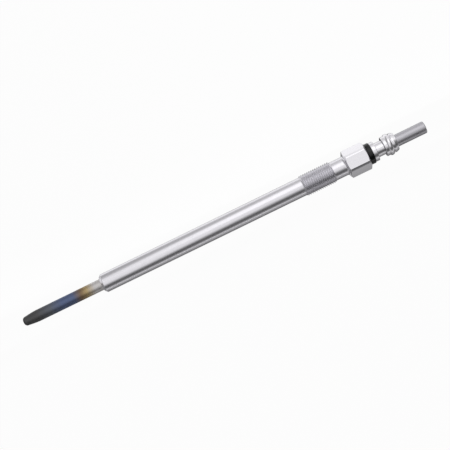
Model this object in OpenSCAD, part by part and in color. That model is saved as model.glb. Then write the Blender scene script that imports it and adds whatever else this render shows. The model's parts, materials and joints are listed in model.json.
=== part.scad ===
// Diesel glow plug with a metal sheath and a push-on terminal, lying as it comes to rest.
// Each piece is turned about its own Z axis, measured from the tip, and lay_down() sets it on the surface.
// Lengths are in millimetres.

/* [Glow tube] */
// Outside diameter of the glow tube
tube_d = 5.35; // [4.4:0.05:6]
// Wall of the glow tube
tube_wall = 0.6; // [0.4:0.05:0.75]
// Length of tube that stands out of the shell
tube_reach = 39.4; // [32:0.1:60]
// Length of tube pressed into the shell
tube_press = 18; // [10:0.5:30]
// Length of the drawn-in nose
nose_len = 6.9; // [5:0.1:12]
// Diameter of the nose just behind its rounded end
nose_d = 4.25; // [3.6:0.05:4.35]
// How much the nose bows outwards, where 1 is a straight taper
nose_bow = 1.3; // [1:0.05:2]
// Radius of the rounded end
tip_round = 1.4; // [0.6:0.05:1.7]
// Thickness of the closed end
tip_wall = 1.2; // [0.8:0.05:2]

/* [Shell] */
// Diameter of the shank
shank_d = 8.8; // [8:0.05:8.9]
// Length from the shell's tip end to the thread
shank_len = 100.9; // [60:0.1:140]
// Length of the cone seat at the shell's tip end
seat_len = 1.1; // [0.5:0.05:2]
// Width of the flat ring between the cone seat and the tube
seat_lip = 0.65; // [0.3:0.05:0.9]
// Major diameter of the thread, which is cut at a pitch of 1
thread_d = 10; // [9:0.5:12]
// Length of the thread with its chamfers
thread_len = 15.1; // [10:0.1:25]
// Chamfer at both ends of the thread
thread_chamfer = 0.55; // [0.3:0.05:0.8]
// Diameter of the neck between the thread and the hexagon
neck_d = 8.8; // [8:0.05:9.4]
// Length of the neck
neck_len = 6.5; // [3:0.1:10]
// Fillet between the neck and the hexagon
neck_fillet = 1; // [0.3:0.05:1.1]

/* [Hexagon] */
// Width across the flats
hex_af = 12; // [11:0.5:14]
// Length of the hexagon with its bevels
hex_len = 10.9; // [8:0.1:16]
// Depth turned off each sharp corner
corner_trim = 0.33; // [0.1:0.01:0.5]
// Slope of the bevels at both ends
bevel_slope = 30; // [15:1:35]
// Diameter of the counterbore for the seal and the washer
counterbore_d = 8.2; // [7.6:0.05:8.8]
// Depth of the counterbore
counterbore_depth = 4.6; // [3.5:0.1:7]

/* [Terminal] */
// Diameter of the insulating washer
washer_d = 9.9; // [9:0.1:11]
// Thickness of the washer's rim
washer_t = 2.1; // [1.5:0.1:4]
// Edge radius of the washer's rim
washer_edge = 0.25; // [0.1:0.05:0.5]
// Diameter of the nut's flange
flange_d = 9.2; // [8:0.1:9.6]
// Thickness of the nut's flange
flange_t = 2; // [1:0.1:3]
// Wall of the nut at its waist
waist_wall = 0.3; // [0.2:0.05:0.8]
// Length of the waist
waist_len = 3.8; // [2:0.1:5]
// Diameter of the nut's two collars
collar_d = 9.2; // [8.4:0.1:9.8]
// Length of the collar before the bead
front_collar_len = 1.5; // [1:0.1:3]
// Height of the bead over the collars
bead_rise = 0.5; // [0.2:0.05:0.8]
// Width of the bead
bead_len = 2.1; // [1.5:0.1:3]
// Depth and width of the groove behind the bead
groove = 0.45; // [0.1:0.05:0.5]
// Length of the collar behind the bead
rear_collar_len = 2.05; // [1.5:0.05:4]
// Length of the rear collar's end taper
collar_taper = 1.3; // [0.5:0.1:1.4]
// How far the end taper narrows the collar's radius
taper_drop = 0.4; // [0.1:0.05:0.6]
// Small chamfer on the nut's edges
nut_chamfer = 0.15; // [0.05:0.05:0.25]
// Diameter of the bare pin
pin_d = 5.7; // [4.5:0.1:6]
// Length of the bare pin
pin_len = 14.6; // [8:0.1:20]
// Chamfer on the pin's end
pin_chamfer = 0.3; // [0.1:0.05:0.6]
// How far the stud's radius grows from the bare pin to the part inside the nut
head_rise = 0.2; // [0.16:0.02:0.4]

/* [Stud and coils] */
// Diameter of the stud through the shank
rod_d = 4; // [3:0.1:5]
// Diameter of the stud inside the tube
core_d = 2.6; // [2.2:0.05:3]
// Length of thin stud behind the tube's open end
core_tail = 1.5; // [1:0.1:4]
// Length of the stud's head inside the shell, ahead of the counterbore
head_lead = 3; // [1:0.1:6]
// Length of the soft seal in the tube's open end
tube_seal_len = 3; // [2:0.1:5]
// Wire of the heating coil
heat_wire_d = 0.36; // [0.25:0.01:0.4]
// Turns of the heating coil
heat_turns = 9; // [5:1:14]
// Pitch of the heating coil
heat_pitch = 0.8; // [0.6:0.05:1.2]
// Wire of the control coil
control_wire_d = 0.4; // [0.25:0.01:0.45]
// Turns of the control coil
control_turns = 12; // [6:1:16]
// Pitch of the control coil
control_pitch = 1.1; // [0.7:0.05:1.4]
// Turns of the control coil that wrap the stud's nose
wrap_turns = 2; // [1:1:4]
// Bend where a coil turns into the straight link
link_bend = 0.5; // [0.4:0.05:0.8]
// Straight link between the two coils
link_len = 1.6; // [1:0.1:4]
// Powder left between the heating coil and the nose's wall
coil_cover = 0.2; // [0.1:0.05:0.4]

/* [Clearances] */
// Gap between pressed or welded faces
press_gap = 0.02; // [0.01:0.01:0.05]
// Gap between faces that slip together
slip_gap = 0.05; // [0.02:0.01:0.1]
// Gap round the coil wires in the powder
wire_gap = 0.06; // [0.03:0.01:0.1]
// Air gap between the stud's head and the shell's bore
stud_gap = 0.25; // [0.15:0.05:0.6]

/* [Hidden] */

// Steps of a full circle, an outline's arc, a coil's turn and a wire's section
$fn = 96;
arc_steps = 8;
coil_steps = 16;
wire_sides = 6;

// How far a cut runs past an open face
cut_over = 1;

// Radii
tube_r = tube_d / 2;
shank_r = shank_d / 2;
thread_r = thread_d / 2;
neck_r = neck_d / 2;
pin_r = pin_d / 2;
head_r = pin_r + head_rise;
washer_r = washer_d / 2;
collar_r = collar_d / 2;
corner_r = hex_af / 2 / cos(30) - corner_trim;
tip_flat_r = nose_d / 2 - tip_round;
seat_bore_r = tube_r + press_gap;
main_bore_r = head_r + stud_gap;
hex_face_r = neck_r + neck_fillet;

// Stations along the axis, from the tip
shell_a = tube_reach;
seat_a = shell_a + seat_len;
tube_end_a = shell_a + tube_press;
thread_a = shell_a + shank_len;
neck_a = thread_a + thread_len;
hex_a = neck_a + neck_len;
hex_end_a = hex_a + hex_len;
counterbore_a = hex_end_a - counterbore_depth;
washer_end_a = hex_end_a + washer_t;
waist_a = washer_end_a + flange_t;
collar_a = waist_a + waist_len;
bead_a = collar_a + front_collar_len;
groove_a = bead_a + bead_len;
rear_a = groove_a + groove;
nut_end_a = rear_a + rear_collar_len;
end_a = nut_end_a + pin_len;

// Bevels run from the hexagon's end faces to its turned corners
neck_bevel = (corner_r - hex_face_r) * tan(bevel_slope);
washer_bevel = (corner_r - washer_r) * tan(bevel_slope);

// The coils share one mean radius, set by the room in the nose
coil_r = nose_d / 2 - tube_wall - coil_cover - heat_wire_d / 2;
bend_turn = link_bend / coil_r * 180 / PI;
heat_a = tip_wall + press_gap;
heat_end_a = heat_a + heat_turns * heat_pitch;
link_a = heat_end_a + link_bend;
link_end_a = link_a + link_len;
link_angle = 360 * heat_turns + bend_turn;
control_a = link_end_a + press_gap;
helix_a = control_a + link_bend;
control_end_a = helix_a + control_turns * control_pitch;
powder_a = heat_a + heat_pitch + heat_wire_d / 2;

// The stud's nose fills the last turns of the control coil
stud_nose_r = coil_r - control_wire_d / 2 - press_gap;
stud_nose_a = control_end_a - wrap_turns * control_pitch;
core_a = control_end_a + control_wire_d / 2 + press_gap;
core_end_a = tube_end_a + core_tail;
core_step = (rod_d - core_d) / 2;
head_step = head_r - rod_d / 2;
head_a = counterbore_a - head_lead - head_step;

// Seals
seal_a = tube_end_a - tube_seal_len;
ring_d = counterbore_d / 2 - head_r - 2 * press_gap;
ring_r = (counterbore_d / 2 + head_r) / 2;
spigot_a = counterbore_a + ring_d + 2 * press_gap;

// At rest the plug leans on the seat's edge and on the front of the hexagon's flat
lean_a = hex_a + (hex_af / 2 - hex_face_r) * tan(bevel_slope);
rest_tilt = atan((hex_af / 2 - shank_r) / (lean_a - seat_a));
rest_z = shank_r * cos(rest_tilt) - seat_a * sin(rest_tilt);
rest_low_x = -tip_flat_r * sin(rest_tilt);
rest_high_x = end_a * cos(rest_tilt) + (pin_r - pin_chamfer) * sin(rest_tilt);
rest_x = (rest_low_x + rest_high_x) / 2;

// Points of an arc about [r, a], with angles counted from the radial direction towards the terminal
function arc(r, a, radius, from, to) =
    [for (i = [0 : arc_steps]) let (t = from + (to - from) * i / arc_steps)
        [r + radius * cos(t), a + radius * sin(t)]];

// Outside radius of the drawn-in nose at a station
function nose_radius(a) =
    tube_r - (tube_r - nose_d / 2) * pow((nose_len - a) / (nose_len - tip_round), nose_bow);

// Outline of the nose from one station to its end, moved inwards by a wall
function nose_curve(from, inset) =
    [for (i = [0 : arc_steps]) let (a = from + (nose_len - from) * i / arc_steps)
        [nose_radius(a) - inset, a]];

// Points of an outline in the opposite order
function backwards(points) = [for (i = [len(points) - 1 : -1 : 0]) points[i]];

// Path points are [radius, angle, station]. The heating coil spirals out of the tip and ends in the link.
function heating_path() = concat(
    [for (i = [0 : heat_turns * coil_steps]) let (u = i / coil_steps)
        [coil_r * pow(sin(90 * min(u, 1)), 3), 360 * u, heat_a + heat_pitch * u]],
    [for (i = [1 : arc_steps]) let (t = 90 * i / arc_steps)
        [coil_r, 360 * heat_turns + bend_turn * sin(t), heat_end_a + link_bend * (1 - cos(t))]],
    [[coil_r, link_angle, link_end_a]]
);

// The control coil starts on the link and ends round the stud's nose
function control_path() = concat(
    [for (i = [0 : arc_steps]) let (t = 90 * i / arc_steps)
        [coil_r, link_angle + bend_turn * (1 - cos(t)), control_a + link_bend * sin(t)]],
    [for (i = [1 : control_turns * coil_steps]) let (u = i / coil_steps)
        [coil_r, link_angle + bend_turn + 360 * u, helix_a + control_pitch * u]]
);

// Point in space of a path point
function place(p) = [p[0] * cos(p[1]), p[0] * sin(p[1]), p[2]];

// Vector of length 1
function unit(v) = v / norm(v);

// Direction of a path at point i
function heading(points, i) = unit(points[min(i + 1, len(points) - 1)] - points[max(i - 1, 0)]);

// Ring of points round the wire at point i, square to the path
function wire_ring(path, points, i, wire_r) =
    let (
        ahead = heading(points, i),
        outward = [cos(path[i][1]), sin(path[i][1]), 0],
        side = unit(cross(ahead, outward)),
        rise = cross(side, ahead)
    )
    [for (k = [0 : wire_sides - 1]) let (t = 360 * k / wire_sides)
        points[i] + wire_r * (cos(t) * rise + sin(t) * side)];

// Round wire carried along a path
module wire(path, wire_r) {
    points = [for (p = path) place(p)];
    last = len(path) - 1;
    rings = [for (i = [0 : last]) each wire_ring(path, points, i, wire_r)];
    sides = [for (i = [0 : last - 1], k = [0 : wire_sides - 1])
        let (a = i * wire_sides + k, b = i * wire_sides + (k + 1) % wire_sides)
        each [[a, b + wire_sides, b], [a, a + wire_sides, b + wire_sides]]];
    start = [for (k = [0 : wire_sides - 1]) k];
    finish = [for (k = [wire_sides - 1 : -1 : 0]) last * wire_sides + k];
    polyhedron(rings, concat(sides, [start, finish]));
}

// Lays a piece that was turned about Z on the surface, tip towards -X, with a flat of the hexagon underneath
module lay_down() {
    translate([-rest_x, 0, rest_z]) rotate([0, -rest_tilt, 0]) rotate([90, 0, 90]) children();
}

// Solid of revolution from an outline of [radius, station] points
module turned(outline) {
    rotate_extrude() polygon(outline);
}

// Straight round hole between two stations
module drilled(radius, from, to) {
    translate([0, 0, from]) cylinder(r = radius, h = to - from);
}

// Turned blank of the shell: cone seat, shank, thread, neck and fillet
module shell_blank() {
    turned(concat(
        [[0, shell_a], [seat_bore_r + seat_lip, shell_a], [shank_r, seat_a], [shank_r, thread_a]],
        [[thread_r - thread_chamfer, thread_a], [thread_r, thread_a + thread_chamfer]],
        [[thread_r, neck_a - thread_chamfer], [thread_r - thread_chamfer, neck_a], [neck_r, neck_a]],
        arc(hex_face_r, hex_a - neck_fillet, neck_fillet, 180, 90),
        [[hex_face_r, hex_a + neck_bevel], [0, hex_a + neck_bevel]]
    ));
}

// Hexagon with turned corners and a bevel at both ends
module hexagon() {
    intersection() {
        translate([0, 0, hex_a]) cylinder(r = hex_af / 2 / cos(30), h = hex_len, $fn = 6);
        turned([
            [0, hex_a], [hex_face_r, hex_a], [corner_r, hex_a + neck_bevel],
            [corner_r, hex_end_a - washer_bevel], [washer_r, hex_end_a], [0, hex_end_a]
        ]);
    }
}

module shell() {
    color("silver") lay_down() difference() {
        union() {
            shell_blank();
            hexagon();
        }
        drilled(seat_bore_r, shell_a - cut_over, tube_end_a + slip_gap);
        drilled(main_bore_r, tube_end_a + slip_gap, hex_end_a + cut_over);
        drilled(counterbore_d / 2, counterbore_a, hex_end_a + cut_over);
    }
}

module glow_tube() {
    color("slategray") lay_down() turned(concat(
        [[0, 0]],
        arc(tip_flat_r, tip_round, tip_round, -90, 0),
        nose_curve(tip_round + (nose_len - tip_round) / arc_steps, 0),
        [[tube_r, tube_end_a], [tube_r - tube_wall, tube_end_a]],
        backwards(nose_curve(tip_wall, tube_wall)),
        [[0, tip_wall]]
    ));
}

// Powder fills the tube round the wires: a sleeve and a core, joined by a web at the link
module insulating_powder() {
    skin = tube_wall + press_gap;
    color("ivory") lay_down() difference() {
        turned(concat(
            [[0, powder_a]],
            nose_curve(powder_a, skin),
            [[tube_r - skin, seal_a - press_gap], [0, seal_a - press_gap]]
        ));
        coil_channel(heat_wire_d, powder_a - cut_over, link_a);
        coil_channel(control_wire_d, link_end_a, core_a);
        rotate([0, 0, link_angle]) translate([coil_r, 0, 0])
            drilled(heat_wire_d / 2 + wire_gap / 2, link_a - wire_gap, link_end_a + wire_gap);
        drilled(stud_nose_r + press_gap, stud_nose_a - press_gap, core_a);
        drilled(core_d / 2 + press_gap, core_a - press_gap, tube_end_a);
    }
}

// Ring-shaped room for the turns of one coil
module coil_channel(wire_d, from, to) {
    room = wire_d / 2 + wire_gap;
    turned([[coil_r - room, from], [coil_r + room, from], [coil_r + room, to], [coil_r - room, to]]);
}

module heating_coil() {
    color("goldenrod") lay_down() wire(heating_path(), heat_wire_d / 2);
}

module control_coil() {
    color("darkgoldenrod") lay_down() wire(control_path(), control_wire_d / 2);
}

module tube_seal() {
    seal_r = tube_r - tube_wall - press_gap;
    bore_r = core_d / 2 + press_gap;
    color("firebrick") lay_down()
        turned([[bore_r, seal_a], [seal_r, seal_a], [seal_r, tube_end_a], [bore_r, tube_end_a]]);
}

module terminal_stud() {
    color("dimgray") lay_down() turned([
        [0, stud_nose_a], [stud_nose_r, stud_nose_a], [stud_nose_r, core_a], [core_d / 2, core_a],
        [core_d / 2, core_end_a], [rod_d / 2, core_end_a + core_step],
        [rod_d / 2, head_a], [head_r, head_a + head_step],
        [head_r, nut_end_a], [pin_r, nut_end_a + head_rise],
        [pin_r, end_a - pin_chamfer], [pin_r - pin_chamfer, end_a], [0, end_a]
    ]);
}

module head_seal() {
    color("black") lay_down() translate([0, 0, counterbore_a + press_gap + ring_d / 2])
        rotate_extrude() translate([ring_r, 0]) circle(d = ring_d);
}

// Black washer with a spigot that fills the counterbore behind the seal
module insulating_washer() {
    bore_r = head_r + slip_gap;
    spigot_r = counterbore_d / 2 - slip_gap;
    color("#202020") lay_down() turned(concat(
        [[bore_r, spigot_a], [spigot_r, spigot_a], [spigot_r, hex_end_a]],
        arc(washer_r - washer_edge, hex_end_a + washer_edge, washer_edge, -90, 0),
        arc(washer_r - washer_edge, washer_end_a - washer_edge, washer_edge, 0, 90),
        [[bore_r, washer_end_a]]
    ));
}

// Bright nut crimped on the pin: flange, waist, collar, bead, groove and tapered collar
module round_nut() {
    bore_r = head_r + press_gap;
    waist_r = bore_r + waist_wall;
    flange_r = flange_d / 2;
    bead_r = (pow(bead_len / 2, 2) + pow(bead_rise, 2)) / (2 * bead_rise);
    bead_half = asin(bead_len / 2 / bead_r);
    color("gainsboro") lay_down() turned(concat(
        [[bore_r, washer_end_a], [flange_r - nut_chamfer, washer_end_a]],
        [[flange_r, washer_end_a + nut_chamfer]],
        [[flange_r, waist_a - nut_chamfer], [flange_r - nut_chamfer, waist_a], [waist_r, waist_a]],
        [[waist_r, collar_a], [collar_r - nut_chamfer, collar_a], [collar_r, collar_a + nut_chamfer]],
        arc(collar_r + bead_rise - bead_r, bead_a + bead_len / 2, bead_r, -bead_half, bead_half),
        [[collar_r - groove, groove_a], [collar_r - groove, rear_a], [collar_r, rear_a]],
        [[collar_r, nut_end_a - collar_taper], [collar_r - taper_drop, nut_end_a - nut_chamfer]],
        [[collar_r - taper_drop - nut_chamfer, nut_end_a], [bore_r, nut_end_a]]
    ));
}

shell();
glow_tube();
insulating_powder();
heating_coil();
control_coil();
tube_seal();
terminal_stud();
head_seal();
insulating_washer();
round_nut();
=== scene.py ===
"""Dresses a diesel glow plug that lies on a pale floor.

Five of the plug's solids get turned surfaces of the same form: the shell with its cut thread and hexagon, the
glow tube with its temper colours, the washer, the nut and the stud. The pieces inside keep their solids.
A station is a distance along the plug's axis, counted from the tip. All lengths are in metres.
"""

import json
import math
from collections import namedtuple

import bpy
import numpy as np
from bpy.props import FloatProperty, FloatVectorProperty, PointerProperty
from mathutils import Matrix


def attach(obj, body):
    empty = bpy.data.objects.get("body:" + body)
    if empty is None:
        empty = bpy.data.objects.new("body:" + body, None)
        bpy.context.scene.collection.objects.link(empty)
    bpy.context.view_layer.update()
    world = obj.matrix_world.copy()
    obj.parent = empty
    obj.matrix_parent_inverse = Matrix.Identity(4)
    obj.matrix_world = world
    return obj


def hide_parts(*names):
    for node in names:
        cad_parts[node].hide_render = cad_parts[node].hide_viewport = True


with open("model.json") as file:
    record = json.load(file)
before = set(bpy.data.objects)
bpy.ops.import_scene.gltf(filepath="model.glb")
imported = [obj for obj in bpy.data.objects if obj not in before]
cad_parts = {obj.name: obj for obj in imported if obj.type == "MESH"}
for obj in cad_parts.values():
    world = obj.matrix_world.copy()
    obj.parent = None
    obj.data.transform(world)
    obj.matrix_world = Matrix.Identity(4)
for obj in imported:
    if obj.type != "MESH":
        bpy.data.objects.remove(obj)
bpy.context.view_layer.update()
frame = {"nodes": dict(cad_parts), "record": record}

bl_info = {
    "name": "Diesel Glow Plug",
    "version": (1, 0, 0),
    "blender": (4, 5, 0),
    "location": "View3D > Sidebar > Glow Plug",
    "description": "Dresses the solids of a diesel glow plug in turned, drawn and tempered metal",
    "category": "Add Mesh",
}

MM = 0.001

# The plug's axis and its tip, from the frame: the axis leads to the terminal along +X and rises a little,
# because the plug lies on a flat of its hexagon and on the front end of its shank
MOUNTS = {mount["name"]: mount for mount in frame["record"]["mounts"]}
PIN_MOUNT = MOUNTS["terminal_pin"]
AXIS = np.array(PIN_MOUNT["axis"]) / np.linalg.norm(PIN_MOUNT["axis"])
SIDE = np.array((0.0, 1.0, 0.0))
UP = np.cross(AXIS, SIDE)
TILT = math.asin(AXIS[2])

Span = namedtuple("Span", "first last radius")


def corners(node):
    """Corners of a solid's mesh as an array."""
    vertices = frame["nodes"][node].data.vertices
    places = np.empty(3 * len(vertices))
    vertices.foreach_get("co", places)
    return places.reshape(-1, 3)


PIN_PLACE = np.array(PIN_MOUNT["pos_m"])
TIP = PIN_PLACE + AXIS * ((corners("glow_tube") - PIN_PLACE) @ AXIS).min()


def span(node):
    """First and last station of a solid and its widest radius."""
    reach = corners(node) - TIP
    station = reach @ AXIS
    radius = np.linalg.norm(reach - np.outer(station, AXIS), axis=1)
    return Span(station.min(), station.max(), radius.max())


def mount_span(name):
    """First and last station of a pin mount and its radius."""
    middle = (np.array(MOUNTS[name]["pos_m"]) - TIP) @ AXIS
    half = MOUNTS[name]["dims"]["length_mm"] * MM / 2
    return Span(middle - half, middle + half, MOUNTS[name]["dims"]["r_mm"] * MM)


TUBE, SHELL, WASHER = span("glow_tube"), span("shell"), span("insulating_washer")
NUT, STUD = span("round_nut"), span("terminal_stud")
THREAD, PIN = mount_span("thread"), mount_span("terminal_pin")


# Settings
def length(name, description, mm):
    """Length property whose default is given in millimetres."""
    return FloatProperty(
        name=name, description=description, default=mm * MM, min=0.0, precision=5, unit="LENGTH",
    )


def offset(name, description, mm):
    """Length property that may be negative."""
    return FloatProperty(name=name, description=description, default=mm * MM, precision=5, unit="LENGTH")


def angle(name, description, degrees, top=90):
    """Angle property from 0 to a top value, given in degrees."""
    return FloatProperty(
        name=name, description=description, default=math.radians(degrees), min=0.0, max=math.radians(top),
        subtype="ANGLE",
    )


def colour(name, description, default):
    """Colour property."""
    return FloatVectorProperty(
        name=name, description=description, default=default, min=0.0, max=1.0, subtype="COLOR",
    )


def factor(name, description, default, top=1.0):
    """Plain number property from 0 to a top value."""
    return FloatProperty(
        name=name, description=description, default=default, min=0.0, max=top, subtype="FACTOR",
    )


class TubeSizes(bpy.types.PropertyGroup):
    """Sizes of the glow tube that its solid's span doesn't give"""

    wall: length("Wall", "Wall of the tube", 0.6)
    nose_len: length("Nose length", "Length of the drawn-in nose", 6.9)
    nose_d: length("Nose diameter", "Diameter of the nose just behind its rounded end", 4.25)
    nose_bow: factor("Nose bow", "How much the nose bows outwards, where 1 is a straight taper", 1.3, 3.0)
    tip_round: length("Tip radius", "Radius of the rounded end", 1.4)
    tip_wall: length("Tip wall", "Thickness of the closed end", 1.2)


class ShellSizes(bpy.types.PropertyGroup):
    """Sizes of the shell that its solid's span and mounts don't give"""

    shank_d: length("Shank diameter", "Diameter of the shank", 8.8)
    seat_len: length("Seat length", "Length of the cone seat", 1.1)
    seat_lip: length("Seat lip", "Width of the flat ring between the cone seat and the tube", 0.65)
    pitch: length("Thread pitch", "Pitch of the thread", 1.0)
    thread_depth: length("Thread depth", "Depth of the thread from crest to root", 0.55)
    thread_shift: length("Thread shift", "How far the crests lie towards the tip", 0.27)
    thread_chamfer: length("Thread chamfer", "Chamfer at both ends of the thread", 0.55)
    neck_d: length("Neck diameter", "Diameter of the neck between the thread and the hexagon", 8.8)
    neck_fillet: length("Neck fillet", "Fillet between the neck and the hexagon", 1.0)
    hex_af: length("Across flats", "Width of the hexagon across its flats", 12.0)
    hex_len: length("Hexagon length", "Length of the hexagon with its bevels", 10.9)
    bevel: angle("Bevel slope", "Slope of the bevels at both ends of the hexagon", 30, 60)
    counterbore_d: length("Counterbore", "Diameter of the counterbore for the seal and the washer", 8.2)
    counterbore_depth: length("Counterbore depth", "Depth of the counterbore", 4.6)
    tube_gap: length("Tube gap", "Gap round the pressed-in tube", 0.02)
    end_gap: length("End gap", "Gap behind the tube's open end", 0.05)
    stud_gap: length("Stud gap", "Air gap round the stud's head", 0.25)
    edge: length("Broken edge", "How far back the shell's turned edges are broken", 0.08)


class TerminalSizes(bpy.types.PropertyGroup):
    """Sizes of the washer, the nut and the stud that their spans don't give"""

    washer_edge: length("Washer edge", "Edge radius of the washer's rim", 0.25)
    spigot_gap: length("Spigot gap", "Gap between the washer's spigot and the counterbore", 0.05)
    washer_gap: length("Washer gap", "Gap between the washer and the stud", 0.05)
    nut_gap: length("Nut gap", "Gap between the nut and the stud", 0.02)
    flange_d: length("Flange diameter", "Diameter of the nut's flange", 9.2)
    flange_t: length("Flange thickness", "Thickness of the nut's flange", 2.0)
    waist_wall: length("Waist wall", "Wall of the nut at its waist", 0.3)
    waist_len: length("Waist length", "Length of the nut's waist", 3.8)
    collar_d: length("Collar diameter", "Diameter of the nut's two collars", 9.2)
    front_collar_len: length("Front collar", "Length of the collar before the bead", 1.5)
    bead_len: length("Bead width", "Width of the bead", 2.1)
    groove: length("Groove", "Depth and width of the groove behind the bead", 0.45)
    collar_taper: length("Collar taper", "Length of the rear collar's end taper", 1.3)
    taper_drop: length("Taper drop", "How far the end taper narrows the collar's radius", 0.4)
    nut_chamfer: length("Nut chamfer", "Small chamfer on the nut's edges", 0.15)
    nut_edge: length("Nut edge", "How far back the nut's edges are broken", 0.04)
    pin_chamfer: length("Pin chamfer", "Chamfer on the pin's end", 0.3)
    pin_edge: length("Pin edge", "How far back the edges of the pin's chamfer are broken", 0.075)
    pin_foot: length("Pin foot", "How far back the corner between the pin and the head is rounded", 0.04)
    head_len: length("Head length", "Length from the start of the stud's head to the pin's end", 36.2)
    rod_d: length("Rod diameter", "Diameter of the stud through the shank", 4.0)
    core_d: length("Core diameter", "Diameter of the stud inside the tube", 2.6)
    core_tail: length("Core tail", "Length of thin stud behind the tube's open end", 1.5)
    stud_nose_d: length("Stud nose", "Diameter of the stud's nose inside the control coil", 1.85)
    stud_nose_len: length("Stud nose length", "Length of the stud's nose", 2.42)


class Finishes(bpy.types.PropertyGroup):
    """Colours of the plug's materials"""

    steel: colour("Turned steel", "Bright turned and plated steel of the shell", (0.835, 0.82, 0.863))
    drawn: colour("Drawn hexagon", "Drawn flats of the hexagon", (0.92, 0.905, 0.945))
    thread: colour("Cut thread", "Duller steel of the cut thread", (0.735, 0.725, 0.765))
    plating: colour("Nut plating", "Bright plating of the nut", (0.865, 0.85, 0.885))
    # The shoulder colour is painted shade: a dark band on the front face of the nut's front collar and the
    # corner at its foot, where shade falls
    shoulder: colour("Cut shoulder", "Dull face of the nut's front collar", (0.26, 0.255, 0.27))
    pin: colour("Pin steel", "Dull drawn steel of the terminal pin", (0.545, 0.535, 0.57))
    washer: colour("Washer", "Satin black moulding of the washer", (0.0008, 0.0008, 0.001))
    alloy: colour("Bare alloy", "Sheath where no heat reached it", (0.69, 0.665, 0.66))
    straw: colour("Straw", "Temper colour next to the bare alloy", (0.52, 0.395, 0.205))
    brown: colour("Brown", "Temper colour between straw and blue", (0.27, 0.185, 0.115))
    blue: colour("Blue", "Temper colour in the middle of the tube", (0.14, 0.178, 0.305))
    slate: colour("Slate", "Temper colour between blue and the burnt nose", (0.162, 0.176, 0.205))
    burnt: colour("Burnt nose", "Dark scale on the nose", (0.12, 0.12, 0.122))
    powder: colour("Powder", "Packed mineral powder", (0.78, 0.74, 0.66))
    wire: colour("Coil wire", "Drawn resistance wire", (0.46, 0.40, 0.33))
    rubber: colour("Rubber", "Moulded rubber of the seals", (0.02, 0.02, 0.02))


class StageSettings(bpy.types.PropertyGroup):
    """Camera, lamp, studio walls and floor"""

    view_width: length("View width", "Width of the picture at the plug's axis", 203.3)
    view_height: length("Camera height", "Height of the camera over the plug's axis", 500.0)
    view_turn: angle("View turn", "How far the plug rises to the right in the picture", 26)
    view_x: offset("View middle X", "Place along the plug in the picture's middle", 0.45)
    view_y: offset("View middle Y", "Place across the plug in the picture's middle", -0.27)
    key_power: FloatProperty(
        name="Key power", description="Power of the soft lamp", default=0.84, min=0.0, unit="POWER",
    )
    key_lean: angle("Key lean", "How far the lamp leans from straight up, away from the shadow", 36)
    key_reach: length("Key reach", "Distance of the lamp from the plug, across it", 900.0)
    key_along: length("Key along", "How far the lamp hangs towards the terminal", 530.0)
    key_length: length("Key length", "Length of the lamp along the plug", 1200.0)
    key_width: length("Key width", "Width of the lamp across the plug", 640.0)
    fan_out: factor("Fan", "How much the bright walls spread from the dark stripe towards the tip", 0.9)
    end_start: factor("End wall start", "How far to the tip a view leads where the end wall begins", 0.6)
    end_stop: factor("End wall stop", "How far to the tip a view leads where only the end wall shows", 0.95)
    end_level: factor("End wall level", "Brightness of the end wall", 0.3)
    floor_size: length("Floor size", "Width of the floor", 12000.0)
    # The floor's painted shade grows paler along the plug between these places, as painted light towards the
    # terminal, and metal mirrors it as a painted reflection
    pale_start: offset("Pale start", "Place along the plug where the floor begins to grow paler", -70)
    pale_stop: offset("Pale stop", "Place along the plug where the floor is palest", 60)
    floor_glow: factor("Floor glow", "Share of plain white that the camera sees in the floor", 0.97)
    mirror_glow: factor("Mirrored glow", "Share of the floor's plain colour that metal mirrors", 1.0)


# Outlines: rows of radius, station, how far the corner is cut back, and the finish of the band that follows
# The second finish is the cut thread on the shell and the painted shade of the front collar's face on the nut
TURNED, CUT_OR_PAINTED_SHADE, DRAWN = 0, 1, 2
EDGE_STEPS = 4


def row(radius, station, cut=0.0, finish=TURNED):
    """One outline point, or a ring of points where the radius and the station change with the angle."""
    return np.stack(np.broadcast_arrays(radius, station, cut, finish), axis=-1)[None]


def curve(radii, stations, finish=TURNED):
    """Smooth stretch of an outline, with no corners to break."""
    return np.stack(np.broadcast_arrays(radii, stations, 0.0, finish), axis=-1)


def arc(radius, station, bend, start, end, steps):
    """Arc about a centre: radius + bend * cos t, station + bend * sin t, with t in degrees."""
    t = np.radians(np.linspace(start, end, steps + 1))
    return curve(radius + bend * np.cos(t), station + bend * np.sin(t))


def outline(*parts):
    """Joins outline parts into one array of points, with as many columns as the widest part has angles."""
    parts = [part if part.ndim == 3 else part[:, None] for part in parts]
    columns = max(part.shape[1] for part in parts)
    return np.concatenate([np.broadcast_to(part, (len(part), columns, 4)) for part in parts])


def softened(rows):
    """Rounds an outline's corners and returns the points and the finish of each band.

    A parabola runs from one cut before the corner to one cut after it, with the corner as its handle:
    (1 - t)^2 before + 2 t (1 - t) corner + t^2 after. A guard point one more cut out on each side keeps the
    shading of the long faces flat. A point with no cut stays as it is.
    """
    point, cut = rows[..., :2], rows[..., 2:3]
    before = np.roll(point, 1, axis=0) - point
    after = np.roll(point, -1, axis=0) - point
    before = before / np.linalg.norm(before, axis=-1, keepdims=True)
    after = after / np.linalg.norm(after, axis=-1, keepdims=True)
    t = np.linspace(0, 1, EDGE_STEPS + 1).reshape(-1, 1, 1, 1)
    bend = (1 - t) ** 2 * (point + cut * before) + 2 * t * (1 - t) * point + t ** 2 * (point + cut * after)
    guards = point + 2 * cut * before, point + 2 * cut * after
    full = np.concatenate([guards[0][None], bend, guards[1][None]]).swapaxes(0, 1)
    keep = np.ones(full.shape[:2], bool)
    keep[cut[:, 0, 0] == 0, 1:] = False
    finish = np.broadcast_to(rows[:, :1, 3], keep.shape)
    return full[keep], finish[keep].astype(int)


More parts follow.
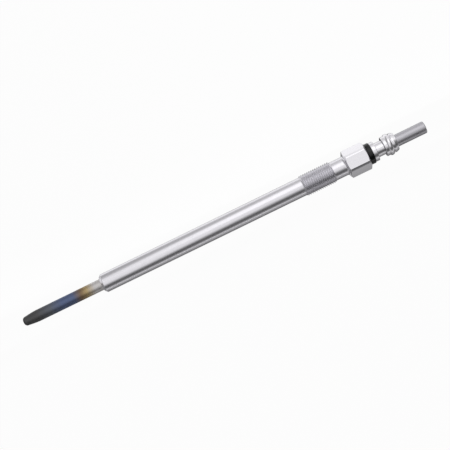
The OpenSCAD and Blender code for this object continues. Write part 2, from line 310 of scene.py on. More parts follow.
def carried_round(name, rows, angles, closed):
    """Mesh of an outline carried round the axis.

    The point at one outline row and angle t is tip + station * axis + radius * (cos t * side + sin t * up).
    A closed outline makes a skin like a ring's. An open one starts and ends on the axis, in single points.
    """
    points, finish = softened(rows)
    count, around = len(points), len(angles)
    radius, station = np.broadcast_to(points, (count, around, 2)).transpose(2, 0, 1)
    spoke = np.cos(angles)[:, None] * SIDE + np.sin(angles)[:, None] * UP
    places = TIP + station[..., None] * AXIS + radius[..., None] * spoke
    index = np.arange(count * around).reshape(count, around)
    if closed:
        places = places.reshape(-1, 3)
        index = np.vstack([index, index[:1]])
    else:
        places = np.vstack([places[0, :1], places[1:-1].reshape(-1, 3), places[-1, :1]])
        index = np.maximum(index - around + 1, 0)
        index[-1] = len(places) - 1
    ahead = np.roll(index, -1, axis=1)
    quads = np.stack([index[:-1], ahead[:-1], ahead[1:], index[1:]], axis=-1)
    bands = np.broadcast_to(finish[: len(quads), None], quads.shape[:2])
    if closed:
        faces = quads.reshape(-1, 4).tolist()
    else:
        first_fan, last_fan = quads[0][:, [0, 2, 3]], quads[-1][:, :3]
        faces = first_fan.tolist() + quads[1:-1].reshape(-1, 4).tolist() + last_fan.tolist()
    mesh = bpy.data.meshes.new(name)
    mesh.from_pydata(places, [], faces)
    mesh.polygons.foreach_set("use_smooth", np.ones(len(faces), bool))
    mesh.polygons.foreach_set("material_index", bands.ravel())
    mesh.update()
    return mesh


def add_piece(mesh, node, slot, *materials):
    """Puts a mesh in the scene as the piece that stands for a solid, riding on the plug's one body."""
    for material in materials:
        mesh.materials.append(material)
    piece = bpy.data.objects.new(mesh.name, mesh)
    bpy.context.scene.collection.objects.link(piece)
    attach(piece, "root")
    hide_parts(node)


# Shapes, and how finely they are divided
TURN_STEPS, FLAT_STEPS, CORNER_STEPS = 128, 24, 8
THREAD_STEPS, SHANK_RINGS, PIN_RINGS = 16, 24, 6
TIP_STEPS, NOSE_STEPS, FILLET_STEPS, RIM_STEPS, BEAD_STEPS = 12, 24, 8, 8, 16
EVEN_ANGLES = np.linspace(0, 2 * np.pi, TURN_STEPS, endpoint=False)
SIXTH = np.pi / 3
SAME_ANGLE = 1e-4


def flat_reach(sizes):
    """Angle from a flat's middle to its edge: acos(half width / radius of the turned corners)."""
    return math.acos(sizes.hex_af / 2 / SHELL.radius)


def from_flat(angles):
    """Angles counted from the middle of their flat, the first of which lies half a sixth of a turn round."""
    return angles % SIXTH - SIXTH / 2


def hexagon_angles(sizes):
    """Angles round the shell, closest at the hexagon's corners, with one on each edge of flat and corner."""
    flat = flat_reach(sizes)
    across = np.linspace(-flat, flat, FLAT_STEPS, endpoint=False)
    round_corner = np.linspace(flat, SIXTH - flat, CORNER_STEPS, endpoint=False)
    one_side = np.concatenate([across, round_corner]) + SIXTH / 2
    return (one_side + np.arange(6)[:, None] * SIXTH).ravel()


def hexagon_radius(sizes, angles):
    """Radius of the hexagon: half its width / cos(angle from the flat), or the turned corner's if less."""
    return np.minimum(sizes.hex_af / 2 / np.cos(from_flat(angles)), SHELL.radius)


def mark_hexagon_edges(mesh, sizes):
    """Marks the lengthways edges between the hexagon's flats and its turned corners as sharp."""
    places = np.empty(3 * len(mesh.vertices))
    mesh.vertices.foreach_get("co", places)
    reach = places.reshape(-1, 3) - TIP
    bearing = np.arctan2(reach @ UP, reach @ SIDE)
    radius = np.linalg.norm(reach - np.outer(reach @ AXIS, AXIS), axis=1)
    at_edge = np.abs(np.abs(from_flat(bearing)) - flat_reach(sizes)) < SAME_ANGLE
    on_hexagon = radius > sizes.hex_af / 2
    ends = np.empty(2 * len(mesh.edges), int)
    mesh.edges.foreach_get("vertices", ends)
    ends = ends.reshape(-1, 2)
    lengthways = np.abs(bearing[ends[:, 0]] - bearing[ends[:, 1]]) < SAME_ANGLE
    mesh.edges.foreach_set("use_edge_sharp", (at_edge & on_hexagon)[ends].all(axis=1) & lengthways)


def thread_rows(sizes, start, end, angles):
    """Cut thread between two stations.

    The radius falls from crest to root and back as a cosine of the turns, (station + shift) / pitch - angle /
    full turn, which winds to the right, and stays under a 45 degree chamfer at both ends.
    """
    station = np.linspace(start, end, int((end - start) / sizes.pitch * THREAD_STEPS))[:, None]
    turns = (station + sizes.thread_shift) / sizes.pitch - angles / (2 * np.pi)
    ridge = THREAD.radius - sizes.thread_depth * (0.5 - 0.5 * np.cos(2 * np.pi * turns))
    chamfer = THREAD.radius - sizes.thread_chamfer + np.minimum(station - start, end - station)
    return curve(np.minimum(ridge, chamfer), station, CUT_OR_PAINTED_SHADE)


def shell_rows(sizes, angles):
    """Shell's section: seat, shank, thread, neck, fillet, hexagon with bevels, and back through the bores."""
    shank_r, neck_r = sizes.shank_d / 2, sizes.neck_d / 2
    tube_bore_r, main_bore_r = TUBE.radius + sizes.tube_gap, STUD.radius + sizes.stud_gap
    thread_a, neck_a = THREAD.first - sizes.thread_chamfer, THREAD.last + sizes.thread_chamfer
    hex_a = SHELL.last - sizes.hex_len
    counterbore_a, step_a = SHELL.last - sizes.counterbore_depth, TUBE.last + sizes.end_gap
    face_r = neck_r + sizes.neck_fillet
    side_r = hexagon_radius(sizes, angles)
    slope = math.tan(sizes.bevel)
    edge = sizes.edge
    return outline(
        row(tube_bore_r, SHELL.first, edge),
        row(tube_bore_r + sizes.seat_lip, SHELL.first, edge),
        row(shank_r, SHELL.first + sizes.seat_len, edge),
        curve(shank_r, np.linspace(SHELL.first + 2 * sizes.seat_len, thread_a - edge, SHANK_RINGS)),
        row(shank_r, thread_a),
        thread_rows(sizes, thread_a, neck_a, angles),
        row(neck_r, neck_a),
        curve(neck_r, np.array((neck_a + edge, hex_a - sizes.neck_fillet - edge))),
        arc(face_r, hex_a - sizes.neck_fillet, sizes.neck_fillet, 180, 90, FILLET_STEPS)[:-1],
        row(face_r, hex_a, edge),
        row(side_r, hex_a + (side_r - face_r) * slope, edge, DRAWN),
        row(side_r, SHELL.last - (side_r - WASHER.radius) * slope, edge),
        row(WASHER.radius, SHELL.last, edge),
        row(sizes.counterbore_d / 2, SHELL.last),
        row(sizes.counterbore_d / 2, counterbore_a),
        row(main_bore_r, counterbore_a),
        row(main_bore_r, step_a),
        row(tube_bore_r, step_a),
    )


def tube_rows(sizes):
    """Glow tube's section: rounded end, bowed nose and straight tube, then back along the inside of the wall.

    The nose's radius is the tube's less a drop that grows as a power of the distance from the nose's end.
    """
    def nose(start, inset):
        station = np.linspace(start, sizes.nose_len, NOSE_STEPS)
        share = (sizes.nose_len - station) / (sizes.nose_len - sizes.tip_round)
        drop = (TUBE.radius - sizes.nose_d / 2) * share ** sizes.nose_bow
        return curve(TUBE.radius - drop - inset, station)

    return outline(
        row(0.0, TUBE.first),
        arc(sizes.nose_d / 2 - sizes.tip_round, sizes.tip_round, sizes.tip_round, -90, 0, TIP_STEPS)[:-1],
        nose(sizes.tip_round, 0.0),
        curve(TUBE.radius, np.linspace(sizes.nose_len, TUBE.last, SHANK_RINGS)[1:]),
        row(TUBE.radius - sizes.wall, TUBE.last),
        nose(sizes.tip_wall, sizes.wall)[::-1],
        row(0.0, sizes.tip_wall),
    )


def washer_rows(sizes, shell):
    """Washer's section: spigot in the counterbore, rim with round edges, and the bore round the stud."""
    bore_r = STUD.radius + sizes.washer_gap
    spigot_r = shell.counterbore_d / 2 - sizes.spigot_gap
    rim_r, edge = WASHER.radius - sizes.washer_edge, sizes.washer_edge
    return outline(
        row(bore_r, WASHER.first),
        row(spigot_r, WASHER.first),
        row(spigot_r, SHELL.last),
        arc(rim_r, SHELL.last + edge, edge, -90, 0, RIM_STEPS),
        arc(rim_r, WASHER.last - edge, edge, 0, 90, RIM_STEPS),
        row(bore_r, WASHER.last),
    )


def nut_rows(sizes):
    """Nut's section: flange, waist, front collar, bead, groove and tapered rear collar.

    The bead is an arc through both its feet and its top, whose radius is (foot^2 + rise^2) / (2 rise).
    """
    bore_r = STUD.radius + sizes.nut_gap
    waist_r, flange_r, collar_r = bore_r + sizes.waist_wall, sizes.flange_d / 2, sizes.collar_d / 2
    waist_a = NUT.first + sizes.flange_t
    collar_a = waist_a + sizes.waist_len
    bead_a = collar_a + sizes.front_collar_len
    groove_a = bead_a + sizes.bead_len
    rear_a = groove_a + sizes.groove
    rise, foot = NUT.radius - collar_r, sizes.bead_len / 2
    bead_r = (foot ** 2 + rise ** 2) / (2 * rise)
    half = math.degrees(math.asin(foot / bead_r))
    end_r, chamfer, edge = collar_r - sizes.taper_drop, sizes.nut_chamfer, sizes.nut_edge
    return outline(
        row(bore_r, NUT.first),
        row(flange_r - chamfer, NUT.first, edge),
        row(flange_r, NUT.first + chamfer, edge),
        row(flange_r, waist_a - chamfer, edge),
        row(flange_r - chamfer, waist_a, edge),
        row(waist_r, waist_a, edge),
        # The front collar's face and the corner at its foot take the shoulder colour, which is painted shade
        row(waist_r, collar_a, edge, CUT_OR_PAINTED_SHADE),
        row(collar_r - chamfer, collar_a, edge),
        row(collar_r, collar_a + chamfer, edge),
        row(collar_r, bead_a, edge),
        arc(collar_r + rise - bead_r, bead_a + foot, bead_r, -half, half, BEAD_STEPS)[1:-1],
        row(collar_r, groove_a, edge),
        row(collar_r - sizes.groove, groove_a, edge),
        row(collar_r - sizes.groove, rear_a, edge),
        row(collar_r, rear_a, edge),
        row(collar_r, NUT.last - sizes.collar_taper, edge),
        row(end_r, NUT.last - chamfer, edge),
        row(end_r - chamfer, NUT.last, edge),
        row(bore_r, NUT.last, edge),
    )


def stud_rows(sizes):
    """Stud's section: nose in the coil, core in the tube, rod in the shank, head in the nut and bare pin."""
    rod_r, core_r, nose_r = sizes.rod_d / 2, sizes.core_d / 2, sizes.stud_nose_d / 2
    core_a, rod_a = STUD.first + sizes.stud_nose_len, TUBE.last + sizes.core_tail
    head_a = STUD.last - sizes.head_len
    shoulder = STUD.radius - PIN.radius
    return outline(
        row(0.0, STUD.first),
        row(nose_r, STUD.first),
        row(nose_r, core_a),
        row(core_r, core_a),
        row(core_r, rod_a),
        row(rod_r, rod_a + rod_r - core_r),
        row(rod_r, head_a - STUD.radius + rod_r),
        row(STUD.radius, head_a),
        row(STUD.radius, PIN.first - shoulder),
        row(PIN.radius, PIN.first, sizes.pin_foot),
        curve(PIN.radius, np.linspace(PIN.first, PIN.last, PIN_RINGS)[1:-1]),
        row(PIN.radius, PIN.last, sizes.pin_edge),
        row(PIN.radius - sizes.pin_chamfer, STUD.last, sizes.pin_edge),
        row(0.0, STUD.last),
    )


# Shader helpers: kinds of sockets, the numbers of a Mix node's colour sockets, and plain colours
FLOAT, VECTOR = "NodeSocketFloat", "NodeSocketVector"
MIX_SHARE, MIX_FIRST, MIX_SECOND, MIX_RESULT = 0, 6, 7, 2
BLACK, WHITE = (0.0, 0.0, 0.0, 1.0), (1.0, 1.0, 1.0, 1.0)


def add_node(tree, kind, inputs=None, **settings):
    """Adds a node with its settings, and fills its inputs with values or with links from other sockets."""
    node = tree.nodes.new(kind)
    for name, value in settings.items():
        setattr(node, name, value)
    for name, value in (inputs or {}).items():
        if isinstance(value, bpy.types.NodeSocket):
            tree.links.new(value, node.inputs[name])
        else:
            node.inputs[name].default_value = value
    return node


def math_node(tree, operation, *values):
    """Result of a Math node."""
    return add_node(tree, "ShaderNodeMath", dict(enumerate(values)), operation=operation).outputs[0]


def mapped(tree, value, low=0.0, high=1.0, start=0.0, stop=1.0, **settings):
    """Value between start and stop moved to the range from low to high."""
    limits = {"From Min": start, "From Max": stop, "To Min": low, "To Max": high}
    return add_node(tree, "ShaderNodeMapRange", {"Value": value, **limits}, **settings).outputs[0]


def around(tree, value, middle, below, above):
    """Value between 0 and 1 moved to a range that lies round a middle."""
    return mapped(tree, value, middle - below, middle + above)


def noise(tree, **inputs):
    """Value of a Noise texture, which has one dimension where W is given and three where a Vector is."""
    dimensions = "1D" if "W" in inputs else "3D"
    return add_node(tree, "ShaderNodeTexNoise", inputs, noise_dimensions=dimensions).outputs["Fac"]


def opaque(tint, share=1.0):
    """Colour with an alpha of 1, darkened to a share of itself."""
    return (*(part * share for part in tint), 1.0)


def grey(level):
    """Colour of a plain brightness."""
    return (level, level, level)


def blended(tree, amount, first, second):
    """Mix of two colours."""
    inputs = {MIX_SHARE: amount, MIX_FIRST: first, MIX_SECOND: second}
    return add_node(tree, "ShaderNodeMix", inputs, data_type="RGBA").outputs[MIX_RESULT]


def shaded(tree, amount, tint, dark, light):
    """Tint that goes from a dark share of itself to a light one."""
    return blended(tree, amount, opaque(tint, dark), opaque(tint, light))


def ramped(tree, share, stops):
    """Colour of a ramp whose stops each have a position from 0 to 1 and a colour."""
    ramp = add_node(tree, "ShaderNodeValToRGB", {0: share})
    elements = ramp.color_ramp.elements
    for position, _ in stops[2:]:
        elements.new(position)
    for element, (position, tint) in zip(elements, stops):
        element.position, element.color = position, opaque(tint)
    return ramp.outputs["Color"]


# Effects that several materials share: how long drawn lines are for their width, and clouds for each grain
LINE_STRETCH, CLOUD_SHARE = 50, 0.035


def new_group(name, inputs, outputs):
    """Empty node group with named sockets, and its input and output nodes."""
    group = bpy.data.node_groups.new(name, "ShaderNodeTree")
    for label, kind in inputs.items():
        group.interface.new_socket(label, in_out="INPUT", socket_type=kind)
    for label, kind in outputs.items():
        group.interface.new_socket(label, in_out="OUTPUT", socket_type=kind)
    return group, group.nodes.new("NodeGroupInput").outputs, group.nodes.new("NodeGroupOutput").inputs


def placed_group(tree, name, build, inputs):
    """Outputs of a node group, which is built once and placed here with its own values."""
    group = bpy.data.node_groups.get(name) or build(name)
    return add_node(tree, "ShaderNodeGroup", inputs, node_tree=group).outputs


def build_plug_axis(name):
    """Place along and across the plug: Object coordinates counted from the tip and turned to its lean."""
    group, _, out = new_group(name, {}, {"Place": VECTOR, "Station": FLOAT})
    place = add_node(group, "ShaderNodeTexCoord").outputs["Object"]
    turned = add_node(
        group, "ShaderNodeMapping", {"Vector": place, "Location": TIP, "Rotation": (0, -TILT, 0)},
        vector_type="TEXTURE",
    ).outputs[0]
    group.links.new(turned, out["Place"])
    group.links.new(add_node(group, "ShaderNodeSeparateXYZ", {0: turned}).outputs["X"], out["Station"])
    return group


def build_lathe_marks(name):
    """Rings left by a turning tool: fine noise along the axis alone, with a slower swell in its depth."""
    group, given, out = new_group(
        name, {"Station": FLOAT, "Rings per metre": FLOAT}, {"Height": FLOAT, "Streak": FLOAT},
    )
    turn = math_node(group, "MULTIPLY", given["Station"], given["Rings per metre"])
    ring = noise(group, W=turn, Scale=1.0, Detail=4.0)
    swell = noise(group, W=turn, Scale=0.06, Detail=2.0)
    group.links.new(ring, out["Height"])
    group.links.new(math_node(group, "MULTIPLY", ring, swell), out["Streak"])
    return group


def build_drawn_lines(name):
    """Lines left by a drawing die: noise that is stretched along the axis."""
    group, given, out = new_group(name, {"Place": VECTOR, "Lines per metre": FLOAT}, {"Height": FLOAT})
    stretch = {0: given["Place"], 1: (1 / LINE_STRETCH, 1.0, 1.0)}
    drawn_out = add_node(group, "ShaderNodeVectorMath", stretch, operation="MULTIPLY").outputs[0]
    line = noise(group, Vector=drawn_out, Scale=given["Lines per metre"], Detail=4.0, Roughness=0.6)
    group.links.new(line, out["Height"])
    return group


def build_metal_grain(name):
    """Fine grain and broad clouds: two noises, one at the grain's size and one far wider."""
    group, given, out = new_group(
        name, {"Place": VECTOR, "Grains per metre": FLOAT}, {"Grain": FLOAT, "Cloud": FLOAT},
    )
    clouds_per_metre = math_node(group, "MULTIPLY", given["Grains per metre"], CLOUD_SHARE)
    grain = noise(group, Vector=given["Place"], Scale=given["Grains per metre"], Detail=5.0)
    cloud = noise(group, Vector=given["Place"], Scale=clouds_per_metre, Detail=3.0)
    group.links.new(grain, out["Grain"])
    group.links.new(cloud, out["Cloud"])
    return group


def plug_axis(tree):
    """Place along and across the plug."""
    return placed_group(tree, "Plug Axis", build_plug_axis, {})


def lathe_marks(tree, station, rings):
    """Turning marks."""
    inputs = {"Station": station, "Rings per metre": rings}
    return placed_group(tree, "Lathe Marks", build_lathe_marks, inputs)


def drawn_lines(tree, place, lines):
    """Drawing lines."""
    inputs = {"Place": place, "Lines per metre": lines}
    return placed_group(tree, "Drawn Lines", build_drawn_lines, inputs)


def metal_grain(tree, place, grains):
    """Fine grain and clouds."""
    inputs = {"Place": place, "Grains per metre": grains}
    return placed_group(tree, "Metal Grain", build_metal_grain, inputs)


# Materials: how rough each surface is, how many marks it has in a metre, and how deep they are
Marks = namedtuple("Marks", "rough per_metre depth")
STEEL_RINGS = Marks(0.22, 16000.0, 0.003 * MM)
THREAD_RINGS = Marks(0.3, 9000.0, 0.0012 * MM)
PLATING_RINGS = Marks(0.18, 12000.0, 0.003 * MM)
SHOULDER_RINGS = Marks(0.4, 12000.0, 0.003 * MM)
FLAT_LINES = Marks(0.17, 9000.0, 0.004 * MM)
PIN_LINES = Marks(0.38, 11000.0, 0.008 * MM)
WIRE_LINES = Marks(0.35, 20000.0, 0.004 * MM)
POWDER_GRAIN = Marks(0.9, 16000.0, 0.02 * MM)
RUBBER_GRAIN = Marks(0.6, 8000.0, 0.01 * MM)
WASHER_GRAIN = Marks(0.075, 5000.0, 0.001 * MM)
TUBE_RINGS = Marks(0.48, 14000.0, 0.006 * MM)
TURNED_GRAINS, DRAWN_GRAINS, TUBE_GRAINS = 9000.0, 7000.0, 6000.0

# Temper colours of the tube: millimetres from the tip and the finish there
TEMPER_STOPS = [
    (7.5, "burnt"), (14, "slate"), (19.5, "blue"), (25.2, "blue"), (28.9, "brown"), (32, "straw"),
    (35.8, "alloy"),
]
TEMPER_WAVER = 1.2 * MM

# Dull scale on the nose: its roughness, where it ends and where the bare alloy begins
SCALE_ROUGH, SCALE_END, BARE_START = 0.55, 12 * MM, 34 * MM


def new_material(name, metallic, **sockets):
    """Material with one Principled shader, and its node tree and shader."""
    material = bpy.data.materials.new(name)
    material.use_nodes = True
    tree = material.node_tree
    shader = tree.nodes["Principled BSDF"]
    shader.inputs["Metallic"].default_value = metallic
    for label, value in sockets.items():
        shader.inputs[label].default_value = value
    return material, tree, shader


def finish_shader(tree, shader, base, roughness, height, depth):
    """Links colour, roughness and a bump of the given depth to the shader."""
    bump = add_node(tree, "ShaderNodeBump", {"Height": height, "Strength": 1.0, "Distance": depth})
    tree.links.new(base, shader.inputs["Base Color"])
    tree.links.new(roughness, shader.inputs["Roughness"])
    tree.links.new(bump.outputs["Normal"], shader.inputs["Normal"])


def turned_metal(name, tint, marks):
    """Bright metal with fine turning rings, a little duller where the rings are deep."""
    material, tree, shader = new_material(name, 1.0)
    axis = plug_axis(tree)
    rings = lathe_marks(tree, axis["Station"], marks.per_metre)
    grain = metal_grain(tree, axis["Place"], TURNED_GRAINS)
    base = shaded(tree, grain["Cloud"], tint, dark=0.94, light=1.04)
    grain_wear = math_node(tree, "MULTIPLY", grain["Grain"], 0.4)
    worn = math_node(tree, "ADD", rings["Streak"], grain_wear)
    dulled = around(tree, worn, marks.rough, below=0.05, above=0.1)
    finish_shader(tree, shader, base, dulled, rings["Height"], marks.depth)
    return material


def drawn_metal(name, tint, marks):
    """Cold-drawn metal with fine lines along the axis and cloudy dullness."""
    material, tree, shader = new_material(name, 1.0)
    axis = plug_axis(tree)
    lines = drawn_lines(tree, axis["Place"], marks.per_metre)
    grain = metal_grain(tree, axis["Place"], DRAWN_GRAINS)
    base = shaded(tree, mapped(tree, lines["Height"], low=0.25, high=0.75), tint, dark=0.92, light=1.05)
    dulled = around(tree, grain["Cloud"], marks.rough, below=0.06, above=0.06)
    finish_shader(tree, shader, base, dulled, lines["Height"], marks.depth)
    return material


def tempered_alloy(colours):
    """Sheath alloy whose temper colours follow the station, with wavering edges and a dull, scaled nose."""
    material, tree, shader = new_material("tempered_alloy", 1.0)
    axis = plug_axis(tree)
    rings = lathe_marks(tree, axis["Station"], TUBE_RINGS.per_metre)
    grain = metal_grain(tree, axis["Place"], TUBE_GRAINS)
    waver = around(tree, grain["Cloud"], 0.0, below=TEMPER_WAVER, above=TEMPER_WAVER)
    reach = math_node(tree, "ADD", axis["Station"], waver)
    stops = [(station * MM / SHELL.first, getattr(colours, tint)) for station, tint in TEMPER_STOPS]
    temper = ramped(tree, math_node(tree, "DIVIDE", reach, SHELL.first), stops)
    shade = mapped(tree, grain["Grain"], low=0.82, high=1.12)
    base = blended(tree, shade, BLACK, temper)
    dulled = mapped(tree, reach, SCALE_ROUGH, TUBE_RINGS.rough, start=SCALE_END, stop=BARE_START)
    finish_shader(tree, shader, base, dulled, rings["Height"], TUBE_RINGS.depth)
    return material


def black_moulding(colours):
    """Satin black moulded plastic with a faint orange-peel skin."""
    material, tree, shader = new_material("black_moulding", 0.0, IOR=1.46)
    grain = metal_grain(tree, plug_axis(tree)["Place"], WASHER_GRAIN.per_metre)
    base = shaded(tree, grain["Cloud"], colours.washer, dark=0.7, light=1.6)
    dulled = around(tree, grain["Cloud"], WASHER_GRAIN.rough, below=0.025, above=0.025)
    finish_shader(tree, shader, base, dulled, grain["Grain"], WASHER_GRAIN.depth)
    return material


def dull_moulding(name, tint, marks):
    """Matt solid with fine grain, for packed powder and rubber."""
    material, tree, shader = new_material(name, 0.0)
    grain = metal_grain(tree, plug_axis(tree)["Place"], marks.per_metre)
    base = shaded(tree, grain["Grain"], tint, dark=0.75, light=1.15)
    dulled = around(tree, grain["Cloud"], marks.rough, below=0.05, above=0.05)
    finish_shader(tree, shader, base, dulled, grain["Grain"], marks.depth)
    return material


# Floor's painted shade across the plug, which mirroring metal sees: millimetres from its middle, towards the
# lamp, and brightness at the tip and at the terminal. The dark bands are painted shadow next to the plug and
# on its side away from the lamp, and the rise towards the terminal is painted light.
FLOOR_PAINTED_SHADE = [
    (-40, 0.38, 0.38), (-22, 0.37, 0.37), (-15, 0.28, 0.28), (-12, 0.12, 0.12), (-9.2, 0.08, 0.08),
    (-7.8, 0.3, 0.3), (-7, 0.5, 0.5), (-5.5, 0.5, 0.5), (0, 0.3, 0.3), (5, 0.2, 0.2), (7.6, 0.8, 0.2),
    (9, 1.0, 1.0), (13, 1.0, 1.0), (22, 0.7, 1.0), (27, 0.45, 0.95), (40, 0.4, 0.7),
]
SPECKS_PER_METRE, SPECK_SHARE = 40.0, 0.02

# Studio walls across the plug: degrees from straight up, towards the side of the shadow, and brightness
STUDIO_WALLS = [
    (-90, 0.42), (-76, 0.51), (-60, 0.86), (-36, 0.92), (-12, 0.91), (0, 0.87), (12, 0.86), (25, 0.5),
    (37, 0.16), (50, 0.08), (62, 0.12), (76, 0.285), (88, 0.98),
]
DARK_STRIPE = math.radians(50)

# Camera: width of its sensor in its own millimetres, and how near and far it sees
SENSOR_WIDTH = 36.0
NEAREST, FARTHEST = 0.01, 100.0


def lay_floor(settings):
    """Flat square floor under the plug."""
    half = settings.floor_size / 2
    square = [(-half, -half, 0), (half, -half, 0), (half, half, 0), (-half, half, 0)]
    mesh = bpy.data.meshes.new("studio_floor")
    mesh.from_pydata(square, [], [(0, 1, 2, 3)])
    mesh.materials.append(floor_white(settings))
    floor = bpy.data.objects.new("studio_floor", mesh)
    bpy.context.scene.collection.objects.link(floor)


def floor_white(settings):
    """Matt floor in soft bands of painted shade along the plug: painted shadow next to it and on its side
    away from the lamp, pale on the lamp's side, and there paler towards the terminal as painted light.

    The camera sees a share of plain white in it. Mirroring metal sees a share of the floor's banded colour,
    which glows there as a painted reflection with its painted shade.
    """
    material, tree, shader = new_material("floor_white", 0.0, Roughness=0.9)
    place = add_node(tree, "ShaderNodeTexCoord").outputs["Object"]
    spot = add_node(tree, "ShaderNodeSeparateXYZ", {0: place}).outputs
    first, last = FLOOR_PAINTED_SHADE[0][0], FLOOR_PAINTED_SHADE[-1][0]
    across = mapped(tree, spot["Y"], start=first * MM, stop=last * MM)
    along = mapped(tree, spot["X"], start=settings.pale_start, stop=settings.pale_stop)
    tip_stops = [((y - first) / (last - first), grey(level)) for y, level, _ in FLOOR_PAINTED_SHADE]
    terminal_stops = [((y - first) / (last - first), grey(level)) for y, _, level in FLOOR_PAINTED_SHADE]
    # Banded grey of painted shade and painted shadow, blended from the tip's bands to the terminal's
    pale = blended(tree, along, ramped(tree, across, tip_stops), ramped(tree, across, terminal_stops))
    speck = noise(tree, Vector=place, Scale=SPECKS_PER_METRE, Detail=3.0)
    base = blended(tree, mapped(tree, speck, high=SPECK_SHARE), pale, BLACK)
    tree.links.new(base, shader.inputs["Base Color"])
    ray = add_node(tree, "ShaderNodeLightPath").outputs
    # Metal mirrors the banded floor as glowing colour: a painted reflection of the painted shade
    mirrored = math_node(tree, "MAXIMUM", ray["Is Glossy Ray"], ray["Is Transmission Ray"])
    seen = math_node(tree, "MULTIPLY", ray["Is Camera Ray"], settings.floor_glow)
    share = math_node(tree, "MULTIPLY_ADD", mirrored, settings.mirror_glow, seen)
    plain = blended(tree, ray["Is Camera Ray"], pale, WHITE)
    glow = add_node(tree, "ShaderNodeEmission", {"Color": plain, "Strength": 1.0})
    mix = add_node(tree, "ShaderNodeMixShader", {0: share, 1: shader.outputs[0], 2: glow.outputs[0]})
    tree.links.new(mix.outputs[0], tree.nodes["Material Output"].inputs["Surface"])
    return material


def light_studio(settings):
    """World of soft walls along the plug, with a darker end wall beyond the tip and white for the camera.

    The brightness follows a direction's angle from straight up, across the plug. On the bright side of the
    dark stripe the angles spread out from it towards the tip and close up on it towards the terminal.
    """
    world = bpy.data.worlds.new("studio_walls")
    bpy.context.scene.world = world
    world.use_nodes = True
    tree = world.node_tree
    facing = add_node(tree, "ShaderNodeTexCoord").outputs["Generated"]
    way = add_node(tree, "ShaderNodeSeparateXYZ", {0: facing}).outputs
    to_shadow = math_node(tree, "MULTIPLY", way["Y"], -1.0)
    to_tip = math_node(tree, "MULTIPLY", way["X"], -1.0)
    lean = math_node(tree, "ARCTAN2", to_shadow, way["Z"])
    before_stripe = math_node(tree, "MINIMUM", math_node(tree, "SUBTRACT", lean, DARK_STRIPE), 0.0)
    fan = math_node(tree, "MULTIPLY", to_tip, settings.fan_out)
    fanned = math_node(tree, "MULTIPLY_ADD", before_stripe, fan, lean)
    share = mapped(tree, fanned, start=-math.pi / 2, stop=math.pi / 2)
    sides = ramped(tree, share, [((turn + 90) / 180, grey(level)) for turn, level in STUDIO_WALLS])
    at_end = mapped(
        tree, to_tip, start=settings.end_start, stop=settings.end_stop, interpolation_type="SMOOTHSTEP",
    )
    walls = tree.nodes["Background"]
    tree.links.new(blended(tree, at_end, sides, opaque(grey(settings.end_level))), walls.inputs["Color"])
    white = add_node(tree, "ShaderNodeBackground", {"Color": WHITE, "Strength": 1.0})
    seen = add_node(tree, "ShaderNodeLightPath").outputs["Is Camera Ray"]
    mix = add_node(tree, "ShaderNodeMixShader", {0: seen, 1: walls.outputs[0], 2: white.outputs[0]})
    tree.links.new(mix.outputs[0], tree.nodes["World Output"].inputs["Surface"])


def hang_lamp(settings):
    """Soft lamp over the plug's far side, leaning to face it."""
    lamp = bpy.data.lights.new("key_lamp", "AREA")
    lamp.shape, lamp.energy = "RECTANGLE", settings.key_power
    lamp.size, lamp.size_y = settings.key_length, settings.key_width
    hung = bpy.data.objects.new("key_lamp", lamp)
    lean, reach = settings.key_lean, settings.key_reach
    hung.location = (settings.key_along, reach * math.sin(lean), reach * math.cos(lean))
    hung.rotation_euler = (-lean, 0, 0)
    bpy.context.scene.collection.objects.link(hung)


def place_camera(settings):
    """Camera straight over the plug, turned so that the plug rises to the right."""
    camera = bpy.data.cameras.new("camera")
    camera.sensor_width = SENSOR_WIDTH
    camera.lens = SENSOR_WIDTH * settings.view_height / settings.view_width
    camera.clip_start, camera.clip_end = NEAREST, FARTHEST
    viewer = bpy.data.objects.new("camera", camera)
    axis_height = (TIP + AXIS * STUD.last / 2)[2]
    viewer.location = (settings.view_x, settings.view_y, axis_height + settings.view_height)
    viewer.rotation_euler = (0, 0, -settings.view_turn)
    bpy.context.scene.collection.objects.link(viewer)
    bpy.context.scene.camera = viewer


# Operators
class GLOWPLUG_OT_shell(bpy.types.Operator):
    """Builds the turned shell with its thread and hexagon"""

    bl_idname = "glowplug.shell"
    bl_label = "Shell"

    def execute(self, context):
        sizes, colours = context.scene.plug_shell, context.scene.plug_finishes
        angles = hexagon_angles(sizes)
        mesh = carried_round("turned_shell", shell_rows(sizes, angles), angles, closed=True)
        mark_hexagon_edges(mesh, sizes)
        steel = turned_metal("turned_steel", colours.steel, STEEL_RINGS)
        flats = drawn_metal("drawn_flats", colours.drawn, FLAT_LINES)
        thread = turned_metal("cut_thread", colours.thread, THREAD_RINGS)
        add_piece(mesh, "shell", "shell_steel", steel, thread, flats)
        return {"FINISHED"}


class GLOWPLUG_OT_glow_tube(bpy.types.Operator):
    """Builds the glow tube with its temper colours"""

    bl_idname = "glowplug.glow_tube"
    bl_label = "Glow tube"

    def execute(self, context):
        rows = tube_rows(context.scene.plug_tube)
        mesh = carried_round("tempered_tube", rows, EVEN_ANGLES, closed=False)
        add_piece(mesh, "glow_tube", "sheath_alloy", tempered_alloy(context.scene.plug_finishes))
        return {"FINISHED"}


class GLOWPLUG_OT_washer(bpy.types.Operator):
    """Builds the insulating washer"""

    bl_idname = "glowplug.washer"
    bl_label = "Washer"

    def execute(self, context):
        rows = washer_rows(context.scene.plug_terminal, context.scene.plug_shell)
        mesh = carried_round("moulded_washer", rows, EVEN_ANGLES, closed=True)
        add_piece(mesh, "insulating_washer", "washer_plastic", black_moulding(context.scene.plug_finishes))
        return {"FINISHED"}


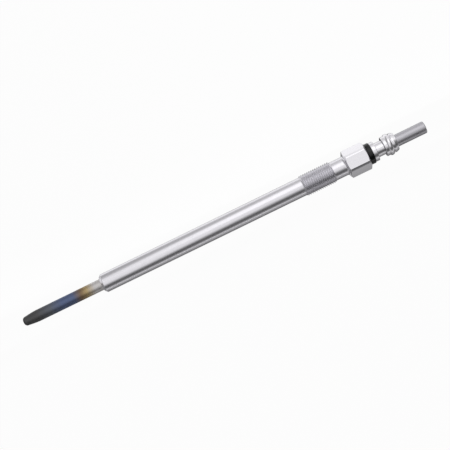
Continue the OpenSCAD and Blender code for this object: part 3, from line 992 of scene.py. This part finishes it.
class GLOWPLUG_OT_nut(bpy.types.Operator):
    """Builds the round terminal nut"""

    bl_idname = "glowplug.nut"
    bl_label = "Nut"

    def execute(self, context):
        colours = context.scene.plug_finishes
        mesh = carried_round("plated_nut", nut_rows(context.scene.plug_terminal), EVEN_ANGLES, closed=True)
        plating = turned_metal("bright_plating", colours.plating, PLATING_RINGS)
        # A dark copy of the plating on the front collar's face: painted shade
        shoulder = turned_metal("cut_shoulder", colours.shoulder, SHOULDER_RINGS)
        add_piece(mesh, "round_nut", "nut_plating", plating, shoulder)
        return {"FINISHED"}


class GLOWPLUG_OT_stud(bpy.types.Operator):
    """Builds the stud with its bare pin"""

    bl_idname = "glowplug.stud"
    bl_label = "Stud"

    def execute(self, context):
        mesh = carried_round("drawn_stud", stud_rows(context.scene.plug_terminal), EVEN_ANGLES, closed=False)
        steel = drawn_metal("dull_drawn_steel", context.scene.plug_finishes.pin, PIN_LINES)
        add_piece(mesh, "terminal_stud", "stud_steel", steel)
        return {"FINISHED"}


class GLOWPLUG_OT_inner_pieces(bpy.types.Operator):
    """Gives the pieces inside the plug their materials"""

    bl_idname = "glowplug.inner_pieces"
    bl_label = "Inner pieces"

    def execute(self, context):
        colours = context.scene.plug_finishes
        powder = dull_moulding("packed_powder", colours.powder, POWDER_GRAIN)
        rubber = dull_moulding("seal_rubber", colours.rubber, RUBBER_GRAIN)
        wire = drawn_metal("coil_wire", colours.wire, WIRE_LINES)
        inner = {
            "insulating_powder": powder, "heating_coil": wire, "control_coil": wire,
            "tube_seal": rubber, "head_seal": rubber,
        }
        for node, material in inner.items():
            mesh = frame["nodes"][node].data
            mesh.materials.clear()
            mesh.materials.append(material)
        return {"FINISHED"}


class GLOWPLUG_OT_stage(bpy.types.Operator):
    """Sets the pale floor with its painted shade, the soft studio light and the camera"""

    bl_idname = "glowplug.stage"
    bl_label = "Stage"

    def execute(self, context):
        settings = context.scene.plug_stage
        lay_floor(settings)
        light_studio(settings)
        hang_lamp(settings)
        place_camera(settings)
        context.scene.view_settings.view_transform = "Standard"
        return {"FINISHED"}


class VIEW3D_PT_glow_plug(bpy.types.Panel):
    """Sizes, colours and steps of the glow plug"""

    bl_label = "Glow Plug"
    bl_space_type = "VIEW_3D"
    bl_region_type = "UI"
    bl_category = "Glow Plug"

    def draw(self, context):
        for step in STEPS:
            self.layout.operator(step.bl_idname)
        for name, group in SETTINGS.items():
            box = self.layout.box()
            for label in group.__annotations__:
                box.prop(getattr(context.scene, name), label)


SETTINGS = {
    "plug_tube": TubeSizes, "plug_shell": ShellSizes, "plug_terminal": TerminalSizes,
    "plug_finishes": Finishes, "plug_stage": StageSettings,
}
STEPS = (
    GLOWPLUG_OT_shell, GLOWPLUG_OT_glow_tube, GLOWPLUG_OT_washer, GLOWPLUG_OT_nut, GLOWPLUG_OT_stud,
    GLOWPLUG_OT_inner_pieces, GLOWPLUG_OT_stage,
)
CLASSES = (*SETTINGS.values(), *STEPS, VIEW3D_PT_glow_plug)


def register():
    """Registers the classes and puts the settings on the scene."""
    for item in CLASSES:
        bpy.utils.register_class(item)
    for name, group in SETTINGS.items():
        setattr(bpy.types.Scene, name, PointerProperty(type=group))


def unregister():
    """Takes the settings and the classes away again."""
    for name in SETTINGS:
        delattr(bpy.types.Scene, name)
    for item in reversed(CLASSES):
        bpy.utils.unregister_class(item)


def main():
    """Builds the pieces and the stage."""
    register()
    bpy.ops.glowplug.shell()
    bpy.ops.glowplug.glow_tube()
    bpy.ops.glowplug.washer()
    bpy.ops.glowplug.nut()
    bpy.ops.glowplug.stud()
    bpy.ops.glowplug.inner_pieces()
    bpy.ops.glowplug.stage()


if __name__ == "__main__":
    main()
